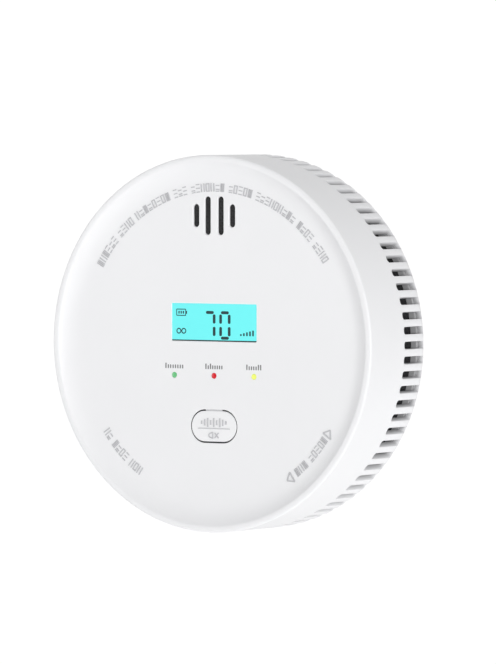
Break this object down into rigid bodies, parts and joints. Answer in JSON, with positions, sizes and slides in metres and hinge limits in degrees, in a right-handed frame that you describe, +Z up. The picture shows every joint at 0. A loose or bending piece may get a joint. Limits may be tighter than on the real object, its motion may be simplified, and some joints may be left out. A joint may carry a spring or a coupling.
{
  "type": "carbon monoxide alarm",
  "caption": "Round wall alarm with a dished white face, lit display, lamps, flap test button, slotted side vents, battery door and twist-on wall bracket.",
  "frame": {"origin": "on the alarm's centre line in the plane of the wall, at the back face of the mounting bracket", "axes": "+X to the right seen from the front, +Y into the wall, +Z up; the face looks along -Y"},
  "size_m": [0.1, 0.0309, 0.1],
  "materials": {
    "white_abs": "fine moulded satin",
    "black_mesh": "open black mesh",
    "black_plastic": "moulded black",
    "board_green": "green solder mask",
    "clear_lens": "clear moulded window",
    "lit_glass": "glass lit cyan from behind",
    "rubber_grey": "dark grey silicone",
    "green_light": "green tinted light pipe",
    "red_light": "red tinted light pipe",
    "yellow_light": "yellow tinted light pipe",
    "steel": "plated steel",
    "brass": "brass disc",
    "cell_wrap": "printed sleeve, plain",
    "ferrite": "dull ferrite"
  },
  "bodies": {
    "bracket": {"mounting_bracket": "white_abs"},
    "alarm": {"rear_housing": "white_abs", "front_cover": "white_abs", "display_frame": "white_abs", "gas_sensor_cap": "white_abs", "vent_screen": "black_mesh", "sounder_screen": "black_mesh", "sounder_cup": "black_plastic", "test_switch": "black_plastic", "microcontroller": "black_plastic", "display_driver": "black_plastic", "capacitor": "black_plastic", "sounder_wire_black": "black_plastic", "circuit_board": "board_green", "display_lens": "clear_lens", "display_glass": "lit_glass", "display_backlight": "lit_glass", "display_strip_upper": "rubber_grey", "display_strip_lower": "rubber_grey", "lamp_power": "green_light", "light_pipe_power": "green_light", "lamp_alarm": "red_light", "light_pipe_alarm": "red_light", "sounder_wire_red": "red_light", "lamp_fault": "yellow_light", "light_pipe_fault": "yellow_light", "case_screw_1": "steel", "case_screw_2": "steel", "case_screw_3": "steel", "board_screw_1": "steel", "board_screw_2": "steel", "board_screw_3": "steel", "contact_jumper": "steel", "contact_positive": "steel", "contact_negative": "steel", "contact_spring_upper": "steel", "contact_spring_lower": "steel", "gas_sensor_can": "steel", "crystal": "steel", "piezo_disc": "brass", "battery_upper": "cell_wrap", "battery_lower": "cell_wrap", "boost_inductor": "ferrite"},
    "battery_door": {"battery_cover": "white_abs"},
    "test_flap": {"test_button": "white_abs"},
    "switch_pin": {"switch_plunger": "rubber_grey"}
  },
  "joints": [
    {"name": "bracket_twist", "type": "hinge", "parent": "bracket", "child": "alarm", "pos_m": [0, 0, 0], "axis": [0, -1, 0], "range_deg": [0, 12]},
    {"name": "battery_door_hinge", "type": "hinge", "parent": "alarm", "child": "battery_door", "pos_m": [0, -0.0035, 0.01435], "axis": [1, 0, 0], "range_deg": [0, 90]},
    {"name": "test_button_press", "type": "hinge", "parent": "alarm", "child": "test_flap", "pos_m": [0, -0.0278, -0.01785], "axis": [1, 0, 0], "range_deg": [0, 5], "stiffness_Nm_per_rad": 0.05},
    {"name": "switch_plunger_press", "type": "slide", "parent": "alarm", "child": "switch_pin", "axis": [0, 1, 0], "range_m": [0, 0.0004]}
  ],
  "couplings": [
    {"joint": "switch_plunger_press", "follows": "test_button_press", "m_per_rad": 0.00405}
  ]
}
